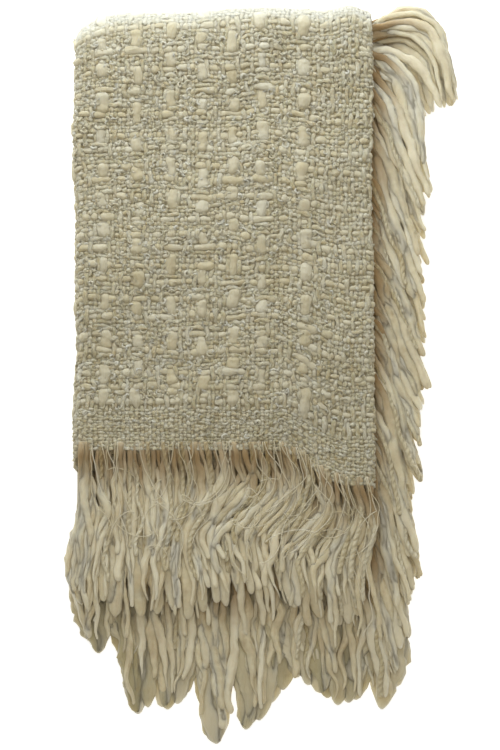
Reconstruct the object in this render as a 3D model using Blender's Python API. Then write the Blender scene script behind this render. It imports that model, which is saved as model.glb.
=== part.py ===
"""A chunky woven throw with a long fringe on all four sides, folded and lying flat.

The cloth is folded in four across its longer side, which makes a strip of four layers, and
the strip is folded in two, its front half on top of the longer back half. The cloth is one
sheet, so one solid. Each fringe is strands that grow from a narrow strip along its edge.

Metres, +Z up. +Y is the end where the strip bends over, -Y the end where the fringe lies,
and +X the side where the cloth's two free side edges lie. The origin is on the floor under
the middle of the strip. "Offset" is the height of a layer above the plane between the two
halves, or its depth below it in the back half. "Along" runs down the strip: 0 at the front
half's end, 1 to 2 round the bend, 3 at the back half's end.
"""

import math
from collections import namedtuple

import bmesh
import bpy
import numpy as np

Sag = namedtuple("Sag", "x drop")
Wave = namedtuple("Wave", "height length")
Lie = namedtuple("Lie", "start_slope end_slope turning")

# The cut cloth, without its fringe
THROW_LENGTH = 1.524
THROW_WIDTH = 1.270
CLOTH = 0.0055
FRINGE_LENGTH = 0.200

# The folded strip, as it lies
LAYERS = 4
LAYER_PITCH = 0.0075
PANEL_WIDTH = 0.388
BEND_END_Y = 0.420
FRONT_END_Y = -0.139
BEND_BULGE = 0.0022
BEND_BULGE_REACH = 0.09

# How far the front half's end edge sags at each x, for its outer layer
SAGS = [
    Sag(-0.300, 0.000),
    Sag(0.078, 0.000),
    Sag(0.102, 0.014),
    Sag(0.132, 0.036),
    Sag(0.156, 0.045),
    Sag(0.300, 0.045),
]
INNER_SAG_SHARE = 0.4

# Unevenness: the folds' sides stray, the layers lie in soft hills, the bend waves and slumps
LEFT_WANDER = [Wave(0.0022, 0.46), Wave(0.0012, 0.17)]
RIGHT_WANDER = [Wave(0.0018, 0.62), Wave(0.0009, 0.21)]
HILLS = [Wave(0.030, 0.31), Wave(0.024, 0.23), Wave(0.012, 0.13)]
BEND_WAVE = Wave(0.0035, 0.27)
BEND_REACH = 0.15
CORNER_SLUMP = 0.032
CORNER_WIDTH = 0.062

# Fringe: the strips, the strands' sections and the rows in which they lie on the floor
PIECE_GAP = 0.0003
STRIP_WIDTH = 0.008
ROOT_WIDTH = 0.0068
END_STRAND_WIDTH = 0.0100
SIDE_STRAND_WIDTH = 0.0088
STRAND_HEIGHT = 0.0066
ROW_PITCH = 0.0080
FLOOR_CLEARANCE = 0.0002

# End strands: how many start side by side in a row, and where they slope down
END_STRANDS_PER_ROW = 24
ROW_STAGGER = 0.22
CORNER_ROOM = 0.0004
LEDGE_ROOM = 0.003
FRONT_DROP_RUN = 0.070
FLOOR_DROP_RUN = 0.060
LONG_STEP = 0.055
LAST_STEPS = [0.045, 0.090, 0.140]
END_SWEEP = Wave(0.006, 0.40)
END_WAVE = Wave(0.0045, 0.125)
END_WAVE_SLANT = 0.45
LEFT_GROUP_WIDTH = 0.13
LEFT_GROUP_BULGE = 0.008
LEFT_GROUP_RETURN = 0.010

# Side strands: how they lie low down and in the tuft by the bend, as slopes in plan, and
# the distances past the strip at which they turn
SIDE_STRAND_PITCH = 0.040
FIRST_SIDE_ROOT = 0.010
LAST_SIDE_ROOT = 0.012
LOW_LIE = Lie(-0.35, -3.3, 0.046)
TUFT_LIE = Lie(0.85, -2.3, 0.105)
TUFT_LOW, TUFT_RISE = 0.17, 0.14
SIDE_WAVE = Wave(0.3, 0.09)
SIDE_STOPS = [0.006, 0.022, 0.040, 0.052, 0.066, 0.084, 0.106, 0.135]
SIDE_LANDED = 0.040
SIDE_SUBSTEPS = 8

# Places worked out from these
SMALL_FOLD = LAYER_PITCH / 2
BIG_FOLD = 1.5 * LAYER_PITCH
OUTER_OFFSET = (LAYERS - 0.5) * LAYER_PITCH
MIDDLE_Z = OUTER_OFFSET + CLOTH / 2
BEND_Y = BEND_END_Y - OUTER_OFFSET - CLOTH / 2 - BEND_BULGE
LEFT_X = -PANEL_WIDTH / 2 + BIG_FOLD + CLOTH / 2
RIGHT_X = PANEL_WIDTH / 2 - SMALL_FOLD - CLOTH / 2
ROUND_THE_FOLDS = math.pi * (BIG_FOLD + 2 * SMALL_FOLD)
EDGE_X = LEFT_X + (THROW_LENGTH - ROUND_THE_FOLDS) / 2 - (RIGHT_X - LEFT_X)
BACK_END_Y = BEND_Y - (THROW_WIDTH - (BEND_Y - FRONT_END_Y) - math.pi * OUTER_OFFSET)
FRINGE_X = EDGE_X + PIECE_GAP + STRIP_WIDTH
SAG_CORNERS = [sag.x for sag in SAGS[1:-1]]

# Colours of the wool, as linear values
CLOTH_COLOUR = (0.62, 0.57, 0.43)
END_FRINGE_COLOUR = (0.66, 0.61, 0.48)
SIDE_FRINGE_COLOUR = (0.68, 0.63, 0.50)
WOOL_ROUGHNESS = 0.95
CREASE_ANGLE = math.radians(50)


def smooth(value):
    """0 below 0, 1 above 1, and a smooth step between."""
    t = min(max(value, 0.0), 1.0)
    return t * t * (3 - 2 * t)


def mix(a, b, share):
    return a + (b - a) * share


def uneven_sum(phase, waves, places):
    """Waves added up, each read at its own place."""
    total = 0.0
    for k, (wave, place) in enumerate(zip(waves, places)):
        total += wave.height * math.sin(2 * math.pi * place / wave.length + phase * (k + 1))
    return total


# The folded strip

def layer_offset(layer):
    """Offset of a layer's middle: layer 0 is the innermost of its half."""
    return (layer + 0.5) * LAYER_PITCH


def layer_z(layer, front):
    return MIDDLE_Z + (layer_offset(layer) if front else -layer_offset(layer))


def left_stray(y):
    return uneven_sum(0.9, LEFT_WANDER, (y, y))


def right_stray(y):
    return uneven_sum(2.3, RIGHT_WANDER, (y, y))


def end_y(x, offset, front):
    """Where a layer's end edge lies: the inner layers have less far to go round the bend."""
    spared = math.pi / 2 * (OUTER_OFFSET - offset)
    if not front:
        return BACK_END_Y - spared
    sag = float(np.interp(x, [s.x for s in SAGS], [s.drop for s in SAGS]))
    return FRONT_END_Y - spared - sag * mix(INNER_SAG_SHARE, 1.0, offset / OUTER_OFFSET)


def on_strip(x, offset, layer_middle, along, beyond=0.0):
    """A point of the even strip. beyond is a distance past the layer's end edge."""
    if along <= 1:
        y = mix(end_y(x, layer_middle, True) - beyond, BEND_Y, along)
        bulge = BEND_BULGE * smooth(1 - (BEND_Y - y) / BEND_BULGE_REACH)
        return (x, y, MIDDLE_Z + offset + 2 * bulge)
    if along >= 2:
        y = mix(BEND_Y, end_y(x, layer_middle, False) - beyond, along - 2)
        return (x, y, MIDDLE_Z - offset)
    turn = math.pi * (along - 1)
    radius = offset + BEND_BULGE
    return (x, BEND_Y + radius * math.sin(turn), MIDDLE_Z + BEND_BULGE + radius * math.cos(turn))


def uneven(point):
    """The same soft hills, wavy bend and slumped corner for everything that lies there."""
    x, y, z = point
    hills = uneven_sum(1.7, HILLS, (x + 0.4 * y, y - 0.5 * x, x - y))
    near_bend = smooth((y - BEND_END_Y) / BEND_REACH + 1)
    bend_wave = BEND_WAVE.height * math.sin(2 * math.pi * x / BEND_WAVE.length + 0.4)
    corner = 1 - smooth((x + PANEL_WIDTH / 2) / CORNER_WIDTH)
    slump = CORNER_SLUMP * corner ** 1.4
    return (x, y + near_bend * (bend_wave - slump), z * (1 + hills))


def nominal_y(along):
    """About where a section lies, for what varies down the strip."""
    if along <= 1:
        return mix(FRONT_END_Y, BEND_Y, along)
    if along >= 2:
        return mix(BEND_Y, BACK_END_Y, along - 2)
    return BEND_Y


def pulled(x, layer, y):
    """Where a mark at x lies on this layer, pulled along by the folds that stray."""
    moved = x + left_stray(y) * max(0.0, x / LEFT_X) ** 2
    if layer in (2, 3):
        moved += right_stray(y) * max(0.0, x / RIGHT_X) ** 2
    return moved


def fold(centre_x, centre_offset, radius, side, upward, steps):
    """Points round a fold without its ends: (x, offset, outward x, outward offset)."""
    found = []
    for k in range(1, steps):
        angle = math.pi * (k / steps - 0.5) * (1 if upward else -1)
        out_x = side * math.cos(angle)
        out_offset = math.sin(angle)
        found.append((centre_x + radius * out_x, centre_offset + radius * out_offset, out_x, out_offset))
    return found


def section(marks, y):
    """The cloth's middle line across the strip, from one free side edge to the other.

    marks holds each layer's x places, left to right. A point is (x, offset, normal x,
    normal offset), with the normal on the side of the cloth that shows on top.
    """
    left = LEFT_X + left_stray(y)
    right = RIGHT_X + right_stray(y)

    def run(layer, rightward):
        last = EDGE_X if layer in (0, 1) else right
        xs = [left] + [pulled(x, layer, y) for x in marks[layer]] + [last]
        up = 1 if rightward else -1
        return [(x, layer_offset(layer), 0.0, up) for x in (xs if rightward else xs[::-1])]

    outer_left = fold(left, 2 * LAYER_PITCH, BIG_FOLD, -1, True, 6)
    outer_right = fold(right, 3 * LAYER_PITCH, SMALL_FOLD, 1, False, 4)
    inner_left = fold(left, 2 * LAYER_PITCH, SMALL_FOLD, -1, False, 4)
    inner_left = [(x, offset, -out_x, -out_offset) for x, offset, out_x, out_offset in inner_left]
    return run(0, False) + outer_left + run(3, True) + outer_right + run(2, False) + inner_left + run(1, True)


# Meshes

def section_ring(mesh_data, points, along, beyond=0.0):
    """The vertices of a section: the side that shows on top, then the other side."""
    sides = []
    for side in (1, -1):
        shift = side * CLOTH / 2
        row = []
        for x, offset, normal_x, normal_offset in points:
            place = on_strip(x + shift * normal_x, offset + shift * normal_offset, offset, along, beyond)
            row.append(mesh_data.verts.new(uneven(place)))
        sides.append(row)
    return sides


def join_rings(mesh_data, first, second):
    """The faces between two sections: both sides of the cloth and its two edges."""
    for a, b in zip(first, second):
        for k in range(len(a) - 1):
            mesh_data.faces.new((a[k], a[k + 1], b[k + 1], b[k]))
    for k in (0, -1):
        mesh_data.faces.new((first[0][k], first[1][k], second[1][k], second[0][k]))


def close_ring(mesh_data, ring):
    """The cut face of a section, as one small face between each two of its points."""
    top, under = ring
    return [mesh_data.faces.new((top[k], top[k + 1], under[k + 1], under[k])) for k in range(len(top) - 1)]


def add_object(name, mesh_data, colour):
    """One finished solid, from a bmesh, with its own material."""
    bmesh.ops.recalc_face_normals(mesh_data, faces=mesh_data.faces)
    bmesh.ops.triangulate(mesh_data, faces=mesh_data.faces)
    mesh = bpy.data.meshes.new(name)
    mesh_data.to_mesh(mesh)
    mesh_data.free()
    material = bpy.data.materials.new(name)
    material.use_nodes = True
    shader = material.node_tree.nodes["Principled BSDF"]
    shader.inputs["Base Color"].default_value = (*colour, 1.0)
    shader.inputs["Roughness"].default_value = WOOL_ROUGHNESS
    shader.inputs["Metallic"].default_value = 0.0
    mesh.materials.append(material)
    mesh.shade_smooth()
    mesh.set_sharp_from_angle(angle=CREASE_ANGLE)
    bpy.context.scene.collection.objects.link(bpy.data.objects.new(name, mesh))


def make_cloth():
    """The whole cloth: eight layers of one sheet, a little apart."""
    marks = [[-0.145, -0.09, -0.03, 0.03] + SAG_CORNERS] * LAYERS
    stations = [*np.linspace(0, 1, 8), *np.linspace(1, 2, 8)[1:-1], *np.linspace(2, 3, 7)]
    mesh_data = bmesh.new()
    rings = [section_ring(mesh_data, section(marks, nominal_y(along)), along) for along in stations]
    for first, second in zip(rings, rings[1:]):
        join_rings(mesh_data, first, second)
    close_ring(mesh_data, rings[0])
    close_ring(mesh_data, rings[-1])
    add_object("woven_cloth", mesh_data, CLOTH_COLOUR)


# One strand

def length_share(index, row):
    """Uneven strand lengths, as a share of the fringe's."""
    return 1.0 + 0.07 * math.sin(1.7 * index + 2.6 * row) + 0.04 * math.sin(4.3 * index + row)


def row_height(row):
    """Middle height of a row of strands once it has come down to the floor."""
    return FLOOR_CLEARANCE + STRAND_HEIGHT / 2 + row * ROW_PITCH


def strand_size(share, widest):
    """Width and height of a strand at this share of its length: fullest low down, slim at its tip."""
    swell = smooth(share / 0.4)
    tip = smooth((share - 0.8) / 0.2)
    width = mix(ROOT_WIDTH, widest, swell) * mix(1.0, 0.5, tip)
    height = mix(CLOTH, STRAND_HEIGHT, swell) * mix(1.0, 0.85, tip)
    return width, height


def cut_to_length(points, length):
    """The points of a path up to this length along it, with the last one on the cut."""
    kept = [points[0]]
    gone = 0.0
    for a, b in zip(points, points[1:]):
        step = math.dist(a, b)
        if gone + step >= length:
            share = (length - gone) / step
            kept.append(tuple(mix(p, q, share) for p, q in zip(a, b)))
            return kept
        gone += step
        kept.append(b)
    return kept


def grow_strand(mesh_data, face, points, length, widest, level):
    """Extrudes a root face into one strand of this length along the points.

    Each ring stands across the path, and level(x, y) gives the height of its middle, so
    that strands of one row never cross those of the next.
    """
    path = cut_to_length(points, length)
    gone = 0.0
    for k in range(1, len(path)):
        gone += math.dist(path[k - 1], path[k])
        width, height = strand_size(gone / length, widest)
        ahead = path[min(k + 1, len(path) - 1)]
        behind = path[k - 1]
        reach = math.dist(ahead, behind)
        side_x = (behind[1] - ahead[1]) / reach
        side_y = (ahead[0] - behind[0]) / reach
        face = bmesh.ops.extrude_discrete_faces(mesh_data, faces=[face])["faces"][0]
        middle = face.calc_center_median()
        for vert in face.verts:
            from_middle = vert.co - middle
            across = math.copysign(width / 2, from_middle.x * side_x + from_middle.y * side_y)
            rise = math.copysign(height / 2, from_middle.z)
            x = path[k][0] + across * side_x
            y = path[k][1] + across * side_y
            z = max(level(x, y), height / 2 + FLOOR_CLEARANCE)
            vert.co = uneven((x, y, z + rise))


# End fringes

def end_row(layer, front):
    """The row, counted from the floor, in which a layer's end strands come to lie."""
    return 2 + layer // 2 if front else (LAYERS - 1 - layer) // 2


def end_root(index, row):
    """Where an end strand starts, clear of the sagging edge's corners so that its root is flat."""
    step = (EDGE_X - LEFT_X) / END_STRANDS_PER_ROW
    x = LEFT_X + step * (index + 0.5 + ROW_STAGGER * math.sin(2.1 * row))
    room = ROOT_WIDTH / 2 + CORNER_ROOM
    for corner in SAG_CORNERS:
        if abs(x - corner) < room:
            return corner + math.copysign(room, x - corner)
    return x


def end_drift(x, y, front, row):
    """Sideways drift, at y, of the end strand that starts at x. It never makes a row cross."""
    fallen = end_y(x, OUTER_OFFSET, front) - y
    grown = smooth((fallen - 0.02) / 0.10)
    keep = 1 - smooth((x - 0.01) / 0.17)
    sweep = END_SWEEP.height * math.sin(2 * math.pi * x / END_SWEEP.length + 1.9 * row)
    turns = y / END_WAVE.length + x / END_WAVE_SLANT
    wave = END_WAVE.height * math.sin(2 * math.pi * turns + 2.4 * row)
    left = 1 - smooth((x + PANEL_WIDTH / 2) / LEFT_GROUP_WIDTH)
    bulge = LEFT_GROUP_BULGE * math.sin(math.pi * smooth(fallen / 0.16))
    back_again = LEFT_GROUP_RETURN * smooth((fallen - 0.10) / 0.10)
    return grown * keep * (sweep + wave) + left * (back_again - bulge)


def lowest_end(x, front):
    """How far down the strips of all layers reach at x, and a little more."""
    reach = min(end_y(x, layer_offset(layer), front) for layer in range(LAYERS))
    return reach - PIECE_GAP - STRIP_WIDTH - LEDGE_ROOM


def end_stops(x, layer, front):
    """Where an end strand changes its slope, as (y, middle height), down to the floor."""
    row = end_row(layer, front)
    root_z = layer_z(layer, front)
    ledge_y = lowest_end(x, False)
    down = [(ledge_y - FLOOR_DROP_RUN, row_height(row))]
    if not front:
        return [(ledge_y, root_z)] + down
    on_back_half = layer_z(0, True) + (row - 2) * ROW_PITCH
    free_y = lowest_end(x, True)
    return [(free_y, root_z), (free_y - FRONT_DROP_RUN, on_back_half), (ledge_y, on_back_half)] + down


def end_path(x, layer, front):
    """Ring places of one end strand: its root, its changes of slope, then its last steps."""
    ys = [end_y(x, layer_offset(layer), front) - PIECE_GAP - STRIP_WIDTH]
    for y, _ in end_stops(x, layer, front):
        parts = 2 if ys[-1] - y > LONG_STEP else 1
        ys += [mix(ys[-1], y, (k + 1) / parts) for k in range(parts)]
    ys += [ys[-1] - step for step in LAST_STEPS]
    row = end_row(layer, front)
    return [(x, ys[0])] + [(x + end_drift(x, y, front, row), y) for y in ys[1:]]


def end_level(layer, front):
    """The height of the middle of a layer's end strands, as a function of (x, y)."""
    def level(x, y):
        ys, zs = zip(*end_stops(x, layer, front))
        return float(np.interp(-y, [-stop for stop in ys], zs))
    return level


def make_end_fringe(name, front):
    """The fringe along one of the longer edges, folded with the cloth, on its narrow strip."""
    along = 0 if front else 3
    y = nominal_y(along)
    roots = [[] for _ in range(LAYERS)]
    for index in range(END_STRANDS_PER_ROW):
        for layer in (index % 2, 2 + index % 2):
            roots[layer].append((end_root(index, end_row(layer, front)), index))
    marks = []
    for row_of_roots in roots:
        root_sides = [x + side * ROOT_WIDTH / 2 for x, _ in row_of_roots for side in (-1, 1)]
        marks.append(sorted(root_sides + SAG_CORNERS))
    points = section(marks, y)
    mesh_data = bmesh.new()
    near = section_ring(mesh_data, points, along, PIECE_GAP)
    far = section_ring(mesh_data, points, along, PIECE_GAP + STRIP_WIDTH)
    join_rings(mesh_data, near, far)
    close_ring(mesh_data, near)
    outward = close_ring(mesh_data, far)
    bmesh.ops.recalc_face_normals(mesh_data, faces=mesh_data.faces)
    places = [(a[0] + b[0]) / 2 for a, b in zip(points, points[1:])]
    for layer, row_of_roots in enumerate(roots):
        row = end_row(layer, front)
        offset = layer_offset(layer)
        own = [k for k, (a, b) in enumerate(zip(points, points[1:])) if a[1] == offset == b[1]]
        for mark, index in row_of_roots:
            x = pulled(mark, layer, y)
            face = outward[min(own, key=lambda k: abs(places[k] - x))]
            length = FRINGE_LENGTH * length_share(index, row)
            path = end_path(x, layer, front)
            grow_strand(mesh_data, face, path, length, END_STRAND_WIDTH, end_level(layer, front))
    add_object(name, mesh_data, END_FRINGE_COLOUR)


# Side fringes

def side_row(layer, front):
    """The row, counted from the floor, in which a layer's side strands come to lie."""
    return 2 + layer if front else 1 - layer


def side_slope(x, y, row):
    """Slope in plan, at x past the strip, of the side strand that starts at y.

    Those lower down turn down at once, and those by the bend arch up and over.
    """
    tuft = smooth((y - BEND_END_Y + TUFT_LOW) / TUFT_RISE)
    start, end, turning = (mix(low, high, tuft) for low, high in zip(LOW_LIE, TUFT_LIE))
    wave = SIDE_WAVE.height * math.sin(2 * math.pi * x / SIDE_WAVE.length + 1.3 * row)
    return mix(start, end, smooth(x / turning)) + wave * smooth(x / 0.03)


def side_path(y, row):
    """Ring places of one side strand, from the outer side of its strip."""
    points = [(FRINGE_X, y)]
    x = 0.0
    for stop in SIDE_STOPS:
        step = (stop - x) / SIDE_SUBSTEPS
        slopes = [side_slope(x + step * (k + 0.5), points[0][1], row) for k in range(SIDE_SUBSTEPS)]
        y += sum(slopes) * step
        x = stop
        points.append((FRINGE_X + x, y))
    return points


def side_level(layer, front):
    """The height of the middle of a layer's side strands, as a function of (x, y)."""
    heights = [layer_z(layer, front), row_height(side_row(layer, front))]

    def level(x, _):
        return float(np.interp(x - FRINGE_X, [SIDE_STOPS[0], SIDE_LANDED], heights))
    return level


def side_roots(layer, front):
    """Where the strands of one half of a side edge start, from its end up to the bend."""
    first = end_y(EDGE_X, layer_offset(layer), front) + FIRST_SIDE_ROOT
    first += SIDE_STRAND_PITCH * side_row(layer, front) / 4
    return np.arange(first, BEND_Y - LAST_SIDE_ROOT, SIDE_STRAND_PITCH)


def side_along(y, layer, front):
    end = end_y(EDGE_X, layer_offset(layer), front)
    share = (y - end) / (BEND_Y - end)
    return share if front else 3 - share


def make_side_fringe(name, layer):
    """The fringe along one of the shorter edges, which goes round the bend, on its narrow strip."""
    offset = layer_offset(layer)
    roots = [(float(y), front) for front in (True, False) for y in side_roots(layer, front)]
    stations = [0.0, 1.0, 1.25, 1.5, 1.75, 2.0, 3.0]
    for y, front in roots:
        stations += [side_along(y + side * ROOT_WIDTH / 2, layer, front) for side in (-1, 1)]
    stations.sort()
    mesh_data = bmesh.new()
    corners = [(EDGE_X + PIECE_GAP, -1), (FRINGE_X, -1), (FRINGE_X, 1), (EDGE_X + PIECE_GAP, 1)]
    rings = []
    for along in stations:
        places = [on_strip(x, offset + side * CLOTH / 2, offset, along) for x, side in corners]
        rings.append([mesh_data.verts.new(uneven(place)) for place in places])
    outward = []
    for a, b in zip(rings, rings[1:]):
        faces = [mesh_data.faces.new((a[k - 1], a[k], b[k], b[k - 1])) for k in range(4)]
        outward.append(faces[2])
    mesh_data.faces.new(rings[0])
    mesh_data.faces.new(rings[-1])
    bmesh.ops.recalc_face_normals(mesh_data, faces=mesh_data.faces)
    for index, (y, front) in enumerate(roots):
        row = side_row(layer, front)
        face = outward[int(np.searchsorted(stations, side_along(y, layer, front))) - 1]
        length = FRINGE_LENGTH * length_share(index, row)
        grow_strand(mesh_data, face, side_path(y, row), length, SIDE_STRAND_WIDTH, side_level(layer, front))
    add_object(name, mesh_data, SIDE_FRINGE_COLOUR)


def main():
    for old in list(bpy.data.objects):
        bpy.data.objects.remove(old, do_unlink=True)
    make_cloth()
    make_end_fringe("end_fringe_front", True)
    make_end_fringe("end_fringe_back", False)
    make_side_fringe("side_fringe_inner", 0)
    make_side_fringe("side_fringe_outer", 1)


main()
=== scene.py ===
import math
from collections import namedtuple

import bpy
import numpy as np
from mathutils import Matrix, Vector


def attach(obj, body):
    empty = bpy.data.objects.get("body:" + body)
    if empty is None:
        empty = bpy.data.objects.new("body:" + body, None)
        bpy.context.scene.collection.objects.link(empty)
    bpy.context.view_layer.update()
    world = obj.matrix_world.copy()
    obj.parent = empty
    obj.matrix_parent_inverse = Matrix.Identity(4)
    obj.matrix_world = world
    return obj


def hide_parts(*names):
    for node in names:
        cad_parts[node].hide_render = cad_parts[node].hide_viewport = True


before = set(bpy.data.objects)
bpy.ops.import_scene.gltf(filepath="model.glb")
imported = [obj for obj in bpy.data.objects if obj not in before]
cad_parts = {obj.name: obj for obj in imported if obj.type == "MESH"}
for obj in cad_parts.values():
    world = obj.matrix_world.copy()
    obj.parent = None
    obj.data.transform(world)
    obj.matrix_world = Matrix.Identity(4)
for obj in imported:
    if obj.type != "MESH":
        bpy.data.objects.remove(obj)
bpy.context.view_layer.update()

# All sizes are in metres. The throw lies as its solids do: folded in four across its longer
# side and in two along the strip that this makes, with the front half on top.

Lie = namedtuple("Lie", "start end turning")
Yarn = namedtuple("Yarn", "half_width half_height")

# The cut cloth and how it is folded
THROW_LENGTH = 1.524
THROW_WIDTH = 1.270
FRINGE_LENGTH = 0.200
LAYERS = 4
LAYER_PITCH = 0.0075
CLOTH = 0.0055
PANEL_WIDTH = 0.388
BEND_END_Y = 0.420
FRONT_END_Y = -0.139
BEND_BULGE = 0.0022
BEND_BULGE_REACH = 0.09
SAG_X = [-0.300, 0.078, 0.102, 0.132, 0.156, 0.300]
SAG_DROP = [0.000, 0.000, 0.014, 0.036, 0.045, 0.045]
INNER_SAG_SHARE = 0.4

# Its unevenness: hills as shares of the height, long edges that stray, a wavy bend that is
# raised at one end, and a slumped corner
HILL_SHARES = (0.030, 0.024, 0.012)
HILL_LENGTHS = (0.31, 0.23, 0.13)
LEFT_STRAY = (0.0022, 0.0012)
LEFT_STRAY_LENGTHS = (0.46, 0.17)
RIGHT_STRAY = (0.0018, 0.0009)
RIGHT_STRAY_LENGTHS = (0.62, 0.21)
BEND_REACH = 0.15
BEND_SHIFT = 0.0105
BEND_WAVE = 0.0035
BEND_WAVE_LENGTH = 0.27
RAISED_X = 0.163
RAISED_REACH = 0.020
RAISED_SHIFT = 0.009
CORNER_REACH = 0.085
CORNER_SHIFT = 0.034

# What follows from how it is folded
SMALL_FOLD = LAYER_PITCH / 2
BIG_FOLD = 1.5 * LAYER_PITCH
OUTER_OFFSET = (LAYERS - 0.5) * LAYER_PITCH
MIDDLE_Z = OUTER_OFFSET + CLOTH / 2
BEND_Y = BEND_END_Y - OUTER_OFFSET - CLOTH / 2 - BEND_BULGE
LEFT_X = -PANEL_WIDTH / 2 + BIG_FOLD + CLOTH / 2
RIGHT_X = PANEL_WIDTH / 2 - SMALL_FOLD - CLOTH / 2
ROUND_THE_FOLDS = math.pi * (BIG_FOLD + 2 * SMALL_FOLD)
EDGE_X = LEFT_X + (THROW_LENGTH - ROUND_THE_FOLDS) / 2 - (RIGHT_X - LEFT_X)
FRONT_RUN = BEND_Y - FRONT_END_Y
BEND_RUN = math.pi * OUTER_OFFSET
BACK_RUN = THROW_WIDTH - FRONT_RUN - BEND_RUN
BACK_END_Y = BEND_Y - BACK_RUN

# Stretches of the cloth across the strip, from one free side edge to the other
STRETCHES = np.cumsum([0.0, EDGE_X - LEFT_X, math.pi * BIG_FOLD, RIGHT_X - LEFT_X,
                       math.pi * SMALL_FOLD, RIGHT_X - LEFT_X, math.pi * SMALL_FOLD, EDGE_X - LEFT_X])
SHOWN_FROM, SHOWN_TO = STRETCHES[1], STRETCHES[4]
FLAT_MIDDLE_U = STRETCHES[2] - LEFT_X

# The weave: thick roving columns and slub rows with thin curled yarn between
THICK_COLUMNS_X = [-0.158, -0.113, -0.067, -0.027, 0.012, 0.050, 0.104]
THIN_PITCH = 0.0055
RIGHT_BORDER_X = 0.138
BORDER_U = FLAT_MIDDLE_U + RIGHT_BORDER_X
BORDER_PITCH = 0.0050
HEADER_DEPTH = 0.050
HEADER_PITCH = 0.0040
THICK_ROW_PITCH = 0.0086
THIN_ROW_PITCH = 0.0047
SELVEDGE_ROOM = 0.003
ROVING_ROOM = 0.0042
ROVING = Yarn(0.0067, 0.0034)
THIN_WARP = Yarn(0.0027, 0.0020)
SLUB = Yarn(0.0038, 0.0025)
THIN_WEFT = Yarn(0.0026, 0.0019)
HEADER_WEFT = Yarn(0.0020, 0.0016)
ASTRAY_SHARE = 0.05
WEAVE_LIFT = 0.0006
PRESSED = 0.66
SHEET_THICKNESS = 0.0022
SHEET_DEPTH = -0.0009
SHEET_ROOM = 0.0005
SHEET_PARTS_ACROSS = (20, 8, 28, 6, 26, 6, 20)

# The fringe: how far the strands of the front end, which start at each x, swerve at each fall
# below the edge
FALLS = [0.0, 0.045, 0.075, 0.097, 0.140, 0.200, 0.280]
SWERVES_X = [-0.190, -0.140, -0.075, -0.025, 0.035, 0.100, 0.150, 0.190]
SWERVES = np.array([
    [0.000, 0.004, 0.006, 0.004, -0.006, -0.012, 0.008],
    [0.000, 0.003, 0.006, 0.005, 0.002, 0.004, 0.012],
    [0.000, 0.003, 0.009, 0.008, 0.005, 0.003, 0.002],
    [0.000, 0.010, 0.002, -0.026, -0.024, -0.014, -0.008],
    [0.000, 0.018, 0.006, -0.042, -0.034, -0.022, -0.014],
    [0.000, 0.020, 0.014, -0.032, -0.030, -0.018, -0.010],
    [0.000, 0.014, 0.012, -0.018, -0.014, -0.006, 0.000],
    [0.000, 0.014, 0.014, -0.006, 0.002, 0.008, 0.010],
])

# The lines that the strands of the ends keep to on the left, that the lowest tips reach, from
# left to right, and that the side's tips reach, as pairs of x and y
LEFT_TIPS = np.transpose([
    (-0.176, -0.390), (-0.186, -0.350), (-0.200, -0.310), (-0.200, -0.290), (-0.188, -0.245),
    (-0.182, -0.200), (-0.185, -0.139),
])
LOWEST_TIPS = np.transpose([
    (-0.205, -0.305), (-0.190, -0.350), (-0.175, -0.394), (-0.156, -0.408), (-0.148, -0.400),
    (-0.132, -0.425), (-0.123, -0.453), (-0.114, -0.481), (-0.094, -0.471), (-0.065, -0.475),
    (-0.043, -0.447), (-0.029, -0.490), (-0.016, -0.520), (0.002, -0.516), (0.042, -0.494),
    (0.062, -0.468), (0.099, -0.434), (0.126, -0.453), (0.152, -0.470), (0.171, -0.462),
    (0.190, -0.470), (0.216, -0.480), (0.230, -0.440), (0.242, -0.390),
])
SIDE_TIPS = np.transpose([
    (0.216, -0.473), (0.228, -0.434), (0.238, -0.395), (0.242, -0.350), (0.257, -0.317),
    (0.259, -0.298), (0.248, -0.260), (0.242, -0.221), (0.248, -0.201), (0.258, -0.182),
    (0.254, -0.104), (0.271, -0.066), (0.270, -0.008), (0.264, 0.051), (0.270, 0.089),
    (0.263, 0.147), (0.273, 0.186), (0.265, 0.230), (0.258, 0.283), (0.295, 0.303),
    (0.308, 0.318),
])

# Where the strands of the back end gather towards their tips
CLUMPS_X = np.array([-0.158, -0.116, -0.066, -0.010, 0.048, 0.108, 0.152, 0.200])

# How a side strand leaves its edge and how it hangs, in degrees, and over which length it
# turns, for the low strands and for the tuft at the bend, which starts this far from the bend
LOW_LIE = Lie(-56.0, -72.0, 0.070)
TUFT_LIE = Lie(46.0, -76.0, 0.154)
TUFT_LOW = 0.075
TUFT_RISE = 0.045

# Strands start inside their edge, and come to rest in rows on the floor
PATH_POINTS = 120
END_PATH = 0.34
SIDE_PATH = 0.27
ROOT_DEPTH = 0.004
STRIP_WIDTH = 0.008
ROW_PITCH = 0.0080
ROW_BASE = 0.0045
LOWEST_MIDDLE = 0.0042
FLOOR_GAP = 0.0004
EDGE_DROP = 0.052
LEDGE_DROP = 0.062
SIDE_LANDED = 0.040
UNSHADED_ROOT_LENGTH = 0.022
UNSHADED_ROOT_LIFT = 0.20
THREAD_HALF = 0.00062

# The picture
IMAGE_ROWS = 750
METRES_A_PIXEL = 0.001298
CAMERA_DISTANCE = 4.0
CAMERA_ELEVATION = math.radians(87)
CAMERA_TARGET = Vector((0.0345, -0.0475, 0.030))
SENSOR = 36.0
FLOOR_HALF = 6


def smooth(t):
    t = np.clip(t, 0.0, 1.0)
    return t * t * (3 - 2 * t)


def mix(a, b, share):
    return a + (b - a) * share


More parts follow.
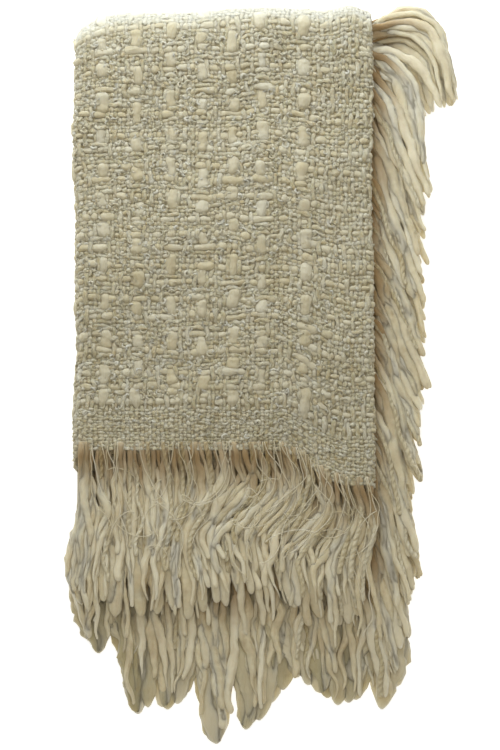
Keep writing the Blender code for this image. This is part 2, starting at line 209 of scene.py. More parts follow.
def soft_noise(rng, rows, places, length):
    """Smooth random values from -1 to 1 for each row, that change over this length."""
    places = np.asarray(places) / length
    places = places - places.min()
    knots = rng.uniform(-1, 1, (rows, int(places.max()) + 3))
    low = places.astype(int)
    part = smooth(places - low)
    if places.ndim == 1:
        return mix(knots[:, low], knots[:, low + 1], part)
    row = np.arange(rows)[:, None]
    return mix(knots[row, low], knots[row, low + 1], part)


def grain(points, size, seed):
    """Random lumps in space: a value from -1 to 1 for each point, that changes over this size."""
    table = np.random.default_rng(seed).uniform(-1, 1, (32, 32, 32))
    place = points / size
    low = np.floor(place).astype(int)
    part = smooth(place - low)
    total = 0.0
    for corner in np.ndindex(2, 2, 2):
        at = tuple((low[..., axis] + corner[axis]) % 32 for axis in range(3))
        weights = [part[..., axis] if corner[axis] else 1 - part[..., axis] for axis in range(3)]
        total = total + weights[0] * weights[1] * weights[2] * table[at]
    return total


# The folded strip as a map from the flat cloth

def layer_offset(layer):
    return (layer + 0.5) * LAYER_PITCH


def layer_z(layer, front):
    return MIDDLE_Z + (layer_offset(layer) if front else -layer_offset(layer))


def waves(phase, heights, lengths, places):
    total = 0.0
    for k, (height, length, place) in enumerate(zip(heights, lengths, places)):
        total = total + height * np.sin(2 * math.pi * place / length + phase * (k + 1))
    return total


def end_y(x, offset, front):
    """Where a layer's end edge lies."""
    spared = math.pi / 2 * (OUTER_OFFSET - offset)
    if not front:
        return BACK_END_Y - spared + 0 * x
    sag = np.interp(x, SAG_X, SAG_DROP)
    return FRONT_END_Y - spared - sag * mix(INNER_SAG_SHARE, 1.0, offset / OUTER_OFFSET)


def across(u):
    """The cloth's middle line across the strip: x, offset, and the normal's x and offset."""
    part = np.clip(np.searchsorted(STRETCHES, u, side="right") - 1, 0, len(STRETCHES) - 2)
    gone = u - STRETCHES[part]
    zero = np.zeros_like(u)
    up = math.pi / 2
    big = gone / BIG_FOLD - up
    small = up - gone / SMALL_FOLD
    big_out, big_up = np.cos(big), np.sin(big)
    out, rise = np.cos(small), np.sin(small)
    p = LAYER_PITCH
    choices = [
        (EDGE_X - gone, zero + 0.5 * p, zero, zero - 1),
        (LEFT_X - BIG_FOLD * big_out, 2 * p + BIG_FOLD * big_up, -big_out, big_up),
        (LEFT_X + gone, zero + 3.5 * p, zero, zero + 1),
        (RIGHT_X + SMALL_FOLD * out, 3 * p + SMALL_FOLD * rise, out, rise),
        (RIGHT_X - gone, zero + 2.5 * p, zero, zero - 1),
        (LEFT_X - SMALL_FOLD * out, 2 * p + SMALL_FOLD * rise, out, -rise),
        (LEFT_X + gone, zero + 1.5 * p, zero, zero + 1),
    ]
    return [np.choose(part, column) for column in zip(*choices)]


def lay(u, v, w):
    """Where the cloth's point (u, v) lies when the throw is folded, w above its middle.

    u runs across the strip from one free side edge, v down it from the front end.
    """
    u, v, w = np.broadcast_arrays(u, v, w)
    x, offset, out_x, out_offset = across(u)
    front = np.clip(v / FRONT_RUN, None, 1.0)
    turn = np.clip((v - FRONT_RUN) / BEND_RUN, 0.0, 1.0)
    back = np.clip((v - FRONT_RUN - BEND_RUN) / BACK_RUN, 0.0, None)
    nominal = mix(mix(FRONT_END_Y, BEND_Y, front), BACK_END_Y, back)
    left = waves(0.9, LEFT_STRAY, LEFT_STRAY_LENGTHS, (nominal, nominal)) + 0.0025
    right = waves(2.3, RIGHT_STRAY, RIGHT_STRAY_LENGTHS, (nominal, nominal))
    upper = offset > 2.2 * LAYER_PITCH
    stray = left * np.clip(x / LEFT_X, 0, 1) ** 2 + upper * right * np.clip(x / RIGHT_X, 0, 1) ** 2
    x = x + stray + w * out_x
    high = offset + w * out_offset
    front_y = mix(end_y(x, offset, True), BEND_Y, front)
    bulge = BEND_BULGE * smooth(1 - (BEND_Y - front_y) / BEND_BULGE_REACH)
    back_y = mix(BEND_Y, end_y(x, offset, False), back)
    angle = math.pi * turn
    radius = high + BEND_BULGE
    bent_y = BEND_Y + radius * np.sin(angle)
    bent_z = MIDDLE_Z + BEND_BULGE + radius * np.cos(angle)
    on_front = v < FRONT_RUN
    on_back = v > FRONT_RUN + BEND_RUN
    y = np.where(on_front, front_y, np.where(on_back, back_y, bent_y))
    z = np.where(on_front, MIDDLE_Z + high + 2 * bulge, np.where(on_back, MIDDLE_Z - high, bent_z))
    return uneven(x, y, z)


def uneven(x, y, z):
    """The soft hills, the wavy bend with its raised end and the slumped corner."""
    hills = waves(1.7, HILL_SHARES, HILL_LENGTHS, (x + 0.4 * y, y - 0.5 * x, x - y))
    near_bend = smooth((y - BEND_END_Y) / BEND_REACH + 1)
    corner = np.clip(1 - (x + PANEL_WIDTH / 2) / CORNER_REACH, 0.0, 1.0)
    raised = np.exp(-((x - RAISED_X) / RAISED_REACH) ** 2)
    wavy = BEND_WAVE * np.sin(2 * math.pi * x / BEND_WAVE_LENGTH + 0.4)
    moved = near_bend * (BEND_SHIFT + wavy + RAISED_SHIFT * raised - CORNER_SHIFT * corner ** 2.3)
    return np.stack([x, y + moved, z * (1 + hills)], axis=-1)


# Tubes

UPWARDS = np.array([0.0, 0.0, 1.0])


def unit(v):
    return v / np.maximum(np.linalg.norm(v, axis=-1, keepdims=True), 1e-9)


def arcs(paths):
    """Length along each path at each of its points."""
    steps = np.linalg.norm(np.diff(paths, axis=1), axis=-1)
    return np.concatenate([np.zeros((len(paths), 1)), np.cumsum(steps, axis=1)], axis=1)


def tubes(centres, ups, half_width, half_height, sides, tint, lump=0.18, lump_size=0.004):
    """Rings of vertices round many paths at once, with what a yarn's material reads."""
    m, n, _ = centres.shape
    along = unit(np.gradient(centres, axis=1))
    side = unit(np.cross(along, ups))
    up = np.cross(side, along)
    turn = 2 * math.pi * np.arange(sides) / sides
    wide = np.cos(turn)[None, None, :, None] * side[:, :, None, :] * half_width[:, :, None, None]
    high = np.sin(turn)[None, None, :, None] * up[:, :, None, :] * half_height[:, :, None, None]
    ring = wide + high
    points = centres[:, :, None, :] + ring
    points = points + ring * (lump * grain(points, lump_size, 7))[..., None]
    points[..., 2] = np.maximum(points[..., 2], FLOOR_GAP)
    return {"points": points, "length": arcs(centres), "tint": np.broadcast_to(tint, (m, n)), "pace": 1.0}


def tube_object(name, bundles, material):
    """One mesh from bundles of tubes, closed at both ends, with its strand coordinates.

    A bundle's pace is how fast its strands clear from the ochre and painted shade of their roots.
    """
    parts = []
    base = 0
    for bundle in bundles:
        points, length = bundle["points"], bundle["length"]
        m, n, k, _ = points.shape
        number = np.arange(m * n * k).reshape(m, n, k)
        following = np.roll(number, -1, axis=2)
        quads = np.stack([number[:, :-1], following[:, :-1], following[:, 1:], number[:, 1:]], axis=-1)
        caps = np.concatenate([number[:, 0, ::-1], number[:, -1, :]], axis=0).ravel()
        corner = np.concatenate([quads.ravel(), caps])
        counts = np.repeat([4, k], [m * (n - 1) * k, 2 * m])
        turn = np.broadcast_to(np.arange(k) / k, (m, n, k))
        turned = np.stack([turn[:, :-1], turn[:, :-1] + 1 / k, turn[:, 1:] + 1 / k, turn[:, 1:]], axis=-1)
        turned = np.concatenate([turned.ravel(), turn.ravel()[caps]])
        uv = np.stack([np.repeat(length.ravel(), k)[corner], turned], axis=-1)
        root = length / length[:, -1:] * bundle["pace"]
        # The first stretch of each strand is kept clear of the root's ochre and painted shade
        root = root + UNSHADED_ROOT_LIFT * (1 - smooth(length / UNSHADED_ROOT_LENGTH))
        parts.append((points.reshape(-1, 3), base + corner, counts, uv,
                      np.repeat(bundle["tint"].ravel(), k), np.repeat(root.ravel(), k)))
        base += m * n * k
    return mesh_object(name, material, *(np.concatenate(part) for part in zip(*parts)))


def mesh_object(name, material, places, corners, counts, uv, tint, root):
    mesh = bpy.data.meshes.new(name)
    mesh.vertices.add(len(places))
    mesh.vertices.foreach_set("co", places.astype(np.float32).ravel())
    mesh.loops.add(len(corners))
    mesh.loops.foreach_set("vertex_index", corners.astype(np.int32))
    mesh.polygons.add(len(counts))
    mesh.polygons.foreach_set("loop_start", (np.cumsum(counts) - counts).astype(np.int32))
    mesh.update(calc_edges=True)
    mesh.shade_smooth()
    layer = mesh.uv_layers.new(name="strand")
    layer.data.foreach_set("uv", uv.astype(np.float32).ravel())
    for key, numbers in (("tint", tint), ("root", root)):
        attribute = mesh.attributes.new(key, "FLOAT", "POINT")
        attribute.data.foreach_set("value", numbers.astype(np.float32))
    mesh.materials.append(material)
    made = bpy.data.objects.new(name, mesh)
    bpy.context.scene.collection.objects.link(made)
    return made


# Materials

MATH = "ShaderNodeMath"
MIX = "ShaderNodeMix"
NOISE = "ShaderNodeTexNoise"
RANGE = "ShaderNodeMapRange"
TIMES = {"operation": "MULTIPLY"}
TIMES_PLUS = {"operation": "MULTIPLY_ADD"}
IN_COLOUR = {"data_type": "RGBA"}
CLOUDS_A_METRE = 24.0
GREEN_CAST = "B4B799"


def linear(hex_colour):
    """The linear values of an sRGB hex colour."""
    parts = [int(hex_colour[k:k + 2], 16) / 255 for k in (0, 2, 4)]
    return (*[p / 12.92 if p <= 0.04045 else ((p + 0.055) / 1.055) ** 2.4 for p in parts], 1.0)


def node(tree, kind, settings=None, **links):
    """Adds a node with its settings and with the values or outputs that feed it: its outputs."""
    made = tree.nodes.new(kind)
    for key, value in (settings or {}).items():
        setattr(made, key, value)
    for key, value in links.items():
        name = key.replace("_", " ")
        socket = made.inputs[int(key[1:])] if key[0] == "i" and key[1:].isdigit() else made.inputs[name]
        if isinstance(value, bpy.types.NodeSocket):
            tree.links.new(value, socket)
        else:
            socket.default_value = value
    return made.outputs


def surface(name, **values):
    """A new material with these values set on its shader, its node tree and that shader."""
    material = bpy.data.materials.new(name)
    material.use_nodes = True
    shader = material.node_tree.nodes["Principled BSDF"]
    for key, value in values.items():
        shader.inputs[key.replace("_", " ")].default_value = value
    return material, material.node_tree, shader


def wool(name, body, shade, pale, fleck, bump_mm, knob_mm, fibre_mm, root_share=0.25, twist_mm=0.0,
         curled=False, hairs_round=7.0):
    """Undyed sheep's wool, spun by hand: matt, with a soft sheen and uneven natural colour.

    body is the main colour, shade that of the painted shade in the hollows and of the roots,
    which are ochre with painted shade under the cloth's edge, pale that of the clean locks and
    of the painted highlight on the bend's crest, and fleck the few ochre hairs. knob_mm is the
    size of the knobs along the yarn, which are tight curls where it is curled, fibre_mm the
    length of the hairs and hairs_round how many lie side by side round a strand, all as coarse
    as they need to show.
    """
    material, tree, shader = surface(
        name, Roughness=0.92, IOR=1.45, Specular_IOR_Level=0.25, Subsurface_Weight=0.65,
        Subsurface_Radius=(1.0, 1.0, 1.0), Subsurface_Scale=0.006, Sheen_Weight=0.3,
        Sheen_Roughness=0.6, Sheen_Tint=linear("F4EEDC" if curled else "EBDCB4"))
    where = node(tree, "ShaderNodeTexCoord")["Object"]
    tint, root = (node(tree, "ShaderNodeAttribute", {"attribute_name": key})["Fac"]
                  for key in ("tint", "root"))
    strand = node(tree, "ShaderNodeUVMap", {"uv_map": "strand"})["UV"]

    # Soft random clouds of the darker shade colour and the body colour, paler where the fleece was clean
    # and, as a painted highlight, on the bend's crest
    clouds = node(tree, NOISE, None, Vector=where, Scale=CLOUDS_A_METRE, Detail=3.0, Roughness=0.6)
    cloud = node(tree, RANGE, None, Value=clouds["Fac"], From_Min=0.34, From_Max=0.66,
                 To_Min=0.45 if curled else 0.66)["Result"]
    colour = node(tree, MIX, IN_COLOUR, i0=cloud, i6=linear(shade), i7=linear(body))[2]
    colour = node(tree, MIX, IN_COLOUR, i0=tint, i6=colour, i7=linear(pale))[2]

    # The hairs along the strand, and its knobs or tight curls
    stretch = node(tree, "ShaderNodeMapping", None, Vector=strand,
                   Scale=(1000 / fibre_mm, hairs_round, 1.0))["Vector"]
    fibres = node(tree, NOISE, None, Vector=stretch, Scale=1.0, Detail=3.0, Roughness=0.6)["Fac"]
    if curled:
        cells = node(tree, "ShaderNodeTexVoronoi", {"feature": "SMOOTH_F1"}, Vector=where,
                     Scale=1000 / knob_mm)["Distance"]
        knobs = node(tree, MATH, {"operation": "SUBTRACT"}, i0=1.0, i1=cells)[0]
        hollows, low, high, deepest = knobs, 0.70, 0.25, 0.34
    else:
        knobs = node(tree, NOISE, None, Vector=where, Scale=700 / knob_mm, Detail=1.0)["Fac"]
        hollows, low, high, deepest = fibres, 0.52, 0.30, 0.26

    # Each knob is a little ochre, pale or greenish, and less so where the tint is pale, in the clean locks
    # and on the bend's painted highlight; the same weight also thins the painted shade in the hollows
    tones = node(tree, "ShaderNodeTexVoronoi", {"feature": "F1"}, Vector=where, Scale=1000 / knob_mm)
    tone = node(tree, "ShaderNodeSeparateXYZ", None, Vector=tones["Color"])
    strength = 0.40 if curled else 0.15
    dirt_and_hollow_shade = node(tree, RANGE, None, Value=tint, To_Min=1.0, To_Max=0.30)["Result"]
    flecked = node(tree, MATH, TIMES, i0=dirt_and_hollow_shade, i1=strength)[0]
    for part, weight, other in (("X", flecked, fleck), ("Y", strength, pale), ("Z", flecked, GREEN_CAST)):
        share = node(tree, MATH, TIMES, i0=tone[part], i1=weight)[0]
        colour = node(tree, MIX, IN_COLOUR, i0=share, i6=colour, i7=linear(other))[2]

    # Painted shade in the hollows between curls and between hairs, and darker towards the root
    hollow_shade = node(tree, RANGE, None, Value=hollows, From_Min=low, From_Max=high,
                  To_Max=deepest)["Result"]
    hollow_shade = node(tree, MATH, TIMES, i0=hollow_shade, i1=dirt_and_hollow_shade)[0]
    # Towards the root: ochre, with painted shade for where the strands drop from under the cloth's edge
    root_ochre_and_shade = node(tree, RANGE, {"interpolation_type": "SMOOTHSTEP"}, Value=root, From_Min=0.0,
                  From_Max=root_share, To_Min=0.95, To_Max=0.0)["Result"]
    for share in (hollow_shade, root_ochre_and_shade):
        colour = node(tree, MIX, IN_COLOUR, i0=share, i6=colour, i7=linear(shade))[2]
    tree.links.new(colour, shader.inputs["Base Color"])

    # The relief of hairs and knobs, and of the twist where the strand is plied
    height = node(tree, MATH, {"operation": "ADD"}, i0=fibres, i1=knobs)[0]
    if twist_mm:
        parts = node(tree, "ShaderNodeSeparateXYZ", None, Vector=strand)
        turns = node(tree, MATH, TIMES, i0=parts["X"], i1=1000 / twist_mm)[0]
        phase = node(tree, MATH, TIMES_PLUS, i0=parts["Y"], i1=2.0, i2=turns)[0]
        angle = node(tree, MATH, TIMES, i0=phase, i1=2 * math.pi)[0]
        lobes = node(tree, MATH, {"operation": "SINE"}, i0=angle)[0]
        height = node(tree, MATH, TIMES_PLUS, i0=lobes, i1=0.5, i2=height)[0]
    bump = node(tree, "ShaderNodeBump", None, Strength=1.0, Distance=bump_mm / 1000, Height=height)
    tree.links.new(bump["Normal"], shader.inputs["Normal"])
    return material


def backing_wool():
    """The same plain weave where only its back or its edge shows, as bumps at the yarns' pitch.

    Matt and a little darker than the yarns, which paints the shade in the gaps between the yarns over it,
    with soft clouds of cream and tan.
    """
    material, tree, shader = surface("woven_wool_backing", Roughness=0.95, Specular_IOR_Level=0.2,
                                     Sheen_Weight=0.2)
    cloth_uv = node(tree, "ShaderNodeUVMap", {"uv_map": "strand"})["UV"]
    where = node(tree, "ShaderNodeTexCoord")["Object"]
    parts = node(tree, "ShaderNodeSeparateXYZ", None, Vector=cloth_uv)
    grid = []
    for axis in ("X", "Y"):
        angle = node(tree, MATH, TIMES, i0=parts[axis], i1=math.pi / THIN_PITCH)[0]
        grid.append(node(tree, MATH, {"operation": "SINE"}, i0=angle)[0])
    weave = node(tree, MATH, TIMES, i0=grid[0], i1=grid[1])[0]
    knobs = node(tree, NOISE, None, Vector=where, Scale=260.0, Detail=4.0)["Fac"]
    height = node(tree, MATH, TIMES_PLUS, i0=knobs, i1=2.0, i2=weave)[0]
    bump = node(tree, "ShaderNodeBump", None, Strength=1.0, Distance=0.0016, Height=height)
    tree.links.new(bump["Normal"], shader.inputs["Normal"])
    clouds = node(tree, NOISE, None, Vector=where, Scale=120.0, Detail=3.0)["Fac"]
    colour = node(tree, MIX, IN_COLOUR, i0=clouds, i6=linear("B0A27A"), i7=linear("D6CAA8"))[2]
    tree.links.new(colour, shader.inputs["Base Color"])
    return material


# The cloth

def make_sheet(material):
    """The cloth's own sheet, thin, through all its folds."""
    us = np.concatenate([np.linspace(a, b, count, endpoint=False) for a, b, count in
                         zip(STRETCHES, STRETCHES[1:], SHEET_PARTS_ACROSS)] + [[STRETCHES[-1]]])
    vs = np.concatenate([
        np.linspace(SHEET_ROOM, FRONT_RUN, 36),
        FRONT_RUN + np.linspace(0.03, 0.97, 11) * BEND_RUN,
        FRONT_RUN + BEND_RUN + np.linspace(SHEET_ROOM, BACK_RUN - SHEET_ROOM, 30),
    ])
    u, v = np.meshgrid(us, vs, indexing="ij")
    sides = [lay(u, v, SHEET_DEPTH + side * SHEET_THICKNESS / 2) for side in (1, -1)]
    m, n = u.shape
    number = np.arange(2 * m * n).reshape(2, m, n)

    def skin(which, flip):
        a = number[which]
        quads = np.stack([a[:-1, :-1], a[1:, :-1], a[1:, 1:], a[:-1, 1:]], axis=-1).reshape(-1, 4)
        return quads[:, ::-1] if flip else quads

    rim = np.concatenate([number[0, :, 0], number[0, -1, 1:], number[0, -2::-1, -1], number[0, 0, -2:0:-1]])
    low = rim + m * n
    wall = np.stack([rim, low, np.roll(low, -1), np.roll(rim, -1)], axis=-1)
    quads = np.concatenate([skin(0, False), skin(1, True), wall])
    corners = quads.ravel()
    flat = np.stack([np.tile(u.ravel(), 2), np.tile(v.ravel(), 2)], axis=-1)
    return mesh_object("woven_sheet", material, np.concatenate([s.reshape(-1, 3) for s in sides]), corners,
                       np.full(len(quads), 4), flat[corners], np.zeros(2 * m * n), np.ones(2 * m * n))


def columns_of_cloth():
    """The warp's places across the shown layer: thick columns with thin ends between."""
    first = SHOWN_FROM + SELVEDGE_ROOM
    thick = [first + 0.012] + [FLAT_MIDDLE_U + x for x in THICK_COLUMNS_X]
    places, is_thick = [], []
    stops = [first] + thick + [BORDER_U]
    for a, b in zip(stops, stops[1:]):
        low = a + (ROVING_ROOM if a in thick else 0.0)
        high = b - (ROVING_ROOM if b in thick else 0.0)
        count = max(1, round((high - low) / THIN_PITCH))
        places += list(low + (np.arange(count) + 0.5) * (high - low) / count)
        is_thick += [False] * count
        if b in thick:
            places.append(b)
            is_thick.append(True)
    count = round((SHOWN_TO - 0.001 - BORDER_U) / BORDER_PITCH)
    places += list(BORDER_U + (np.arange(count) + 0.5) * BORDER_PITCH)
    is_thick += [False] * count
    return np.array(places), np.array(is_thick)


def rows_of_cloth(rng):
    """The weft's places down the shown layer: a fine header, then slub rows among thin picks."""
    places = list(np.arange(-0.0042, HEADER_DEPTH, HEADER_PITCH))
    is_thick = [False] * len(places)
    v = HEADER_DEPTH + 0.003
    end = FRONT_RUN + BEND_RUN - 0.004
    while v < end:
        pattern = [True] + [False] * int(rng.choice([2, 3, 3, 4]))
        for thick in pattern:
            pitch = THICK_ROW_PITCH if thick else THIN_ROW_PITCH
            places.append(v + pitch / 2)
            is_thick.append(thick)
            v += pitch
    return np.array(places), np.array(is_thick)


def course(rng, line, place, over, floats, dives):
    """A thick yarn's own course along its line of crossings: it floats, dives, and so on."""
    while place < len(line):
        floated = int(rng.choice(floats))
        dived = int(rng.choice(dives))
        line[place:place + floated] = over
        line[place + floated:place + floated + dived] = -over
        place += floated + dived


def crossings(rng, warp_thick, weft_thick, weft_places):
    """+1 where the warp passes over the weft, and -1 where it passes under."""
    m, n = len(warp_thick), len(weft_thick)
    sign = np.where((np.arange(m)[:, None] + np.arange(n)[None, :]) % 2 == 0, 1, -1)
    body = weft_places > HEADER_DEPTH
    astray = (rng.random((m, n)) < ASTRAY_SHARE) & body[None, :]
    sign = np.where(astray, -sign, sign)
    for j in np.flatnonzero(weft_thick):
        course(rng, sign[:, j], int(rng.integers(0, 3)), -1, [1, 1, 2, 2], [1, 1, 1, 2])
    first = int(np.flatnonzero(body)[0])
    for i in np.flatnonzero(warp_thick):
        course(rng, sign[i], int(rng.integers(0, 5)) + first, 1, [3, 3, 4], [3, 4, 5])
    return sign


def between(places, rest, parts):
    """Sample places along a yarn: on each crossing and evenly between them."""
    ends = np.concatenate([[places[0] - rest], places, [places[-1] + rest]])
    knots = np.arange(len(ends))
    samples = np.arange(0, len(ends) - 1 + 1e-6, 1 / parts)
    return np.interp(samples, knots, ends), samples


def eased(values, samples):
    """Values at crossings, smoothly joined at the samples between them."""
    padded = np.concatenate([values[:, :1], values, values[:, -1:]], axis=1)
    low = np.minimum(samples.astype(int), padded.shape[1] - 2)
    return mix(padded[:, low], padded[:, low + 1], smooth(samples - low))


def bowed(u, v):
    """Yarns drawn out of line together, as in cloth that was woven by hand and since washed."""
    place = np.stack([u, v, 0 * u], axis=-1)
    free = smooth(v / HEADER_DEPTH)
    return u + 0.0026 * grain(place, 0.036, 3), v + 0.0034 * free * grain(place, 0.042, 4)


def yarns(rng, places, other_places, heights, half_w, half_h, thick, runs_down, sides):
    """One bundle of woven yarns, all warp or all weft.

    A thick yarn is a soft roving, which swells where it floats and is pinched where it dives.
    """
    along, samples = between(other_places, 0.0025, 3 if thick else 2)
    m, n = len(places), len(along)
    w = eased(heights, samples) + WEAVE_LIFT
    on_top = (eased(np.sign(heights), samples) + 1) / 2
    if thick:
        size = mix(0.60, 1.16, on_top)
        rough = 0.20 if runs_down else 0.38
        size *= 1 + rough * soft_noise(rng, m, along, 0.012) + 0.18 * soft_noise(rng, m, along, 0.05)
        wander = 0.0017 * soft_noise(rng, m, along, 0.012)
        w = w + 0.0007 * soft_noise(rng, m, along, 0.009)
        tint = rng.uniform(0.0, 0.4, (m, 1)) + 0.35 * soft_noise(rng, m, along, 0.022)
        if runs_down:
            size *= mix(0.42, 1.0, smooth((along - HEADER_DEPTH + 0.004) / 0.014))
        else:
            size *= mix(1.0, 0.72, smooth((along - BORDER_U) / 0.02))
    else:
        size = mix(0.70, 1.28, on_top) * (1 + 0.30 * soft_noise(rng, m, along, 0.0050))
        wander = 0.0018 * soft_noise(rng, m, along, 0.0056)
        w = w + 0.0012 * soft_noise(rng, m, along, 0.0056)
        tint = rng.uniform(0.0, 0.45, (m, 1)) + 0.4 * soft_noise(rng, m, along, 0.012)
    across_at = places[:, None] + wander
    along_at = np.broadcast_to(along, (m, n))
    u, v = (across_at, along_at) if runs_down else (along_at, across_at)

    # Towards the bend the yarns lie flatter, and past its crest they are full, smooth and pale, the pale
    # being a painted highlight for the light that the bend's rim catches
    bend = smooth((v - FRONT_RUN + 0.03) / 0.04)
    crest = smooth((v - FRONT_RUN) / 0.022)
    w = w * mix(1.0, 0.45, bend) * mix(1.0, 0.40, crest)
    size = size * mix(1.0, 1.22, crest)
    tint = mix(np.clip(tint, 0, 1), 1.0, 0.85 * crest)
    u, v = bowed(u, v)
    centres = lay(u, v, w)
    ups = unit(lay(u, v, w + 0.002) - centres)
    high = half_h[:, None] * mix(1, size, 0.7) * mix(1.0, 0.55, crest)
    lump = (0.16 if thick else 0.24) * mix(1.0, 0.15, crest)[:, :, None]
    return tubes(centres, ups, half_w[:, None] * size, high, sides, tint, lump,
                 lump_size=0.006 if thick else 0.0036)


def make_curls(material):
    """Small curls that stand out of the thin yarn all over the shown layer."""
    rng = np.random.default_rng(17)
    count, rings = 1700, 8
    u0 = rng.uniform(SHOWN_FROM + 0.004, SHOWN_TO - 0.003, count)
    v0 = rng.uniform(0.010, FRONT_RUN - 0.006, count)
    plain = (v0 < HEADER_DEPTH) | (u0 > BORDER_U)
    kept = ~plain | (rng.random(count) < 0.40)
    u0, v0 = u0[kept, None], v0[kept, None]
    m = len(u0)
    t = np.linspace(0, 1, rings)[None, :]
    radius = rng.uniform(0.0016, 0.0038, (m, 1))
    angle = rng.uniform(0, 2 * math.pi, (m, 1)) + rng.uniform(2.4, 5.2, (m, 1)) * t
    squeeze = rng.uniform(0.6, 1.5, (m, 1))
    u = u0 + radius * squeeze * np.cos(angle)
    v = v0 + radius * np.sin(angle)
    w = 0.0006 + rng.uniform(0.0018, 0.0042, (m, 1)) * np.sin(math.pi * t) ** 0.7
    centres = lay(*bowed(u, v), w)
    ups = unit(lay(*bowed(u, v), w + 0.002) - centres)
    half = rng.uniform(0.0010, 0.0018, (m, 1)) * (1 + rng.uniform(-0.2, 0.2, (m, rings)))
    tint = rng.uniform(0, 1, (m, 1)) ** 1.3
    return tube_object("weave_curls", [tubes(centres, ups, half, half, 5, tint, lump=0.2)], material)


def make_weave(thin_material, thick_material):
    """The shown layer's yarns, over and under each other, round both folds and the bend."""
    rng = np.random.default_rng(11)
    warp_u, warp_thick = columns_of_cloth()
    weft_v, weft_thick = rows_of_cloth(rng)
    sign = crossings(rng, warp_thick, weft_thick, weft_v)
    header = weft_v < HEADER_DEPTH
    warp_w, warp_h = (np.where(warp_thick, a, b) for a, b in zip(ROVING, THIN_WARP))
    weft_w, weft_h = (np.where(weft_thick, a, np.where(header, b, c))
                      for a, b, c in zip(SLUB, HEADER_WEFT, THIN_WEFT))
    total = warp_h[:, None] + weft_h[None, :]
    apart = PRESSED * total * sign
    warp_z = apart * weft_h[None, :] / total
    weft_z = -apart * warp_h[:, None] / total
    warp = (warp_u, weft_v, warp_z, warp_w, warp_h, warp_thick)
    weft = (weft_v, warp_u, weft_z.T, weft_w, weft_h, weft_thick)
    groups = [
        ("weave_warp_roving", warp, True, 8, thick_material),
        ("weave_warp_thin", warp, False, 5, thin_material),
        ("weave_weft_slub", weft, True, 8, thick_material),
        ("weave_weft_thin", weft, False, 5, thin_material),
    ]
    made = []
    for name, system, is_thick, sides, material in groups:
        places, crossed, heights, half_w, half_h, thick = system
        chosen = thick == is_thick
        bundle = yarns(rng, places[chosen], crossed, heights[chosen], half_w[chosen], half_h[chosen],
                       is_thick, system is warp, sides)
        made.append(tube_object(name, [bundle], material))
    return made


# The fringe

def resampled(paths, wanted):
    """Points of each dense path at the wanted lengths along it."""
    gone = arcs(paths)
    out = np.empty(wanted.shape + (3,))
    for k in range(len(paths)):
        for axis in range(3):
            out[k, :, axis] = np.interp(wanted[k], gone[k], paths[k, :, axis])
    return out


def trimmed(rng, paths, lengths, spare):
    """Lengths that end at the line of lowest tips and at the side's, give or take."""
    x, y = paths[..., 0], paths[..., 1]
    low = np.interp(x, LOWEST_TIPS[0], LOWEST_TIPS[1])
    side = np.interp(y, SIDE_TIPS[1], SIDE_TIPS[0])
    past = (y < low) | ((x > side) & (y < SIDE_TIPS[1, -1]))
    first = np.where(past.any(axis=1), past.argmax(axis=1), paths.shape[1] - 1)
    reach = arcs(paths)[np.arange(len(paths)), first]
    return np.maximum(np.minimum(lengths, reach - spare * rng.random(len(paths)) ** 1.5), 0.03)


def locks(rng, paths, lengths, widest, rings, sides, neck=0.6, lumps=0.12, flat=0.75, pointed=0.0,
          tint_power=1.0, pace=1.0):
    """Spun strands with a thin neck, a lumpy body and a tip that is blunt or drawn out."""
    lengths = np.minimum(lengths, arcs(paths)[:, -1])[:, None]
    half = widest[:, None] / 2
    body = np.linspace(0, 1, rings - 4)[None, :] * (lengths - half)
    tip = lengths - half * np.array([[0.66, 0.36, 0.13, 0.01]])
    wanted = np.concatenate([body, tip], axis=1)
    centres = resampled(paths, wanted)
    count = len(centres)
    left = lengths - wanted
    blunt = np.sqrt(np.clip(1 - (1 - np.clip(left / half, 0, 1)) ** 2, 0.02, 1))
    drawn = mix(1.0, smooth(left / (0.42 * lengths)) ** 0.75, pointed)
    swell = mix(neck, 1.0, smooth((wanted - 0.012) / 0.075))
    lump = 1 + lumps * soft_noise(rng, count, wanted, 0.013) + lumps * soft_noise(rng, count, wanted, 0.045)
    width = half * swell * lump * blunt * drawn
    roll = rng.uniform(-0.5, 0.5, (count, 1, 1)) * np.array([1.0, 0.0, 0.0])
    ups = np.broadcast_to(unit(UPWARDS + roll), centres.shape)
    tint = rng.uniform(0, 1, (count, 1)) ** tint_power + 0.25 * soft_noise(rng, count, wanted, 0.04)
    made = tubes(centres, ups, width, width * flat, sides, np.clip(tint, 0, 1), lump=0.16, lump_size=0.006)
    made["pace"] = pace
    return made


def cut_locks(rng, paths, share, spare, widths, pointed=0.0, **form):
    """Strands cut to a share of the fringe's length, and to the lines of tips."""
    count = len(paths)
    lengths = trimmed(rng, paths, FRINGE_LENGTH * rng.uniform(*share, count), spare)
    widest = rng.uniform(*widths, count)
    if isinstance(pointed, tuple):
        pointed = rng.uniform(*pointed, (count, 1))
    return locks(rng, paths, lengths, widest, pointed=pointed, **form)


def crimp(rng, count, own, broad, fine):
    """How a strand strays to one side and back: a few broad bends and many small ones."""
    bends = broad * soft_noise(rng, count, own, 0.030) + 0.9 * broad * soft_noise(rng, count, own, 0.080)
    return bends * smooth(own / 0.05) + fine * soft_noise(rng, count, own, 0.013) * smooth(own / 0.02)


def end_height(layer, front, x, y, extra):
    """Middle height of an end strand: off its edge, over the back half, down to the floor."""
    row = 2 + layer // 2 if front else (LAYERS - 1 - layer) // 2
    start = layer_z(layer, front)
    rest = ROW_BASE + row * ROW_PITCH
    ledge = BACK_END_Y - math.pi / 2 * OUTER_OFFSET - STRIP_WIDTH
    past_ledge = smooth((ledge - y) / LEDGE_DROP)
    if not front:
        return mix(start, rest, past_ledge) + extra
    over = layer_z(0, True) + (row - 2) * ROW_PITCH
    edge = end_y(x, OUTER_OFFSET, True)
    dropped = smooth((edge - ROOT_DEPTH - y) / EDGE_DROP)
    return mix(mix(start, over, dropped), rest, past_ledge) + extra


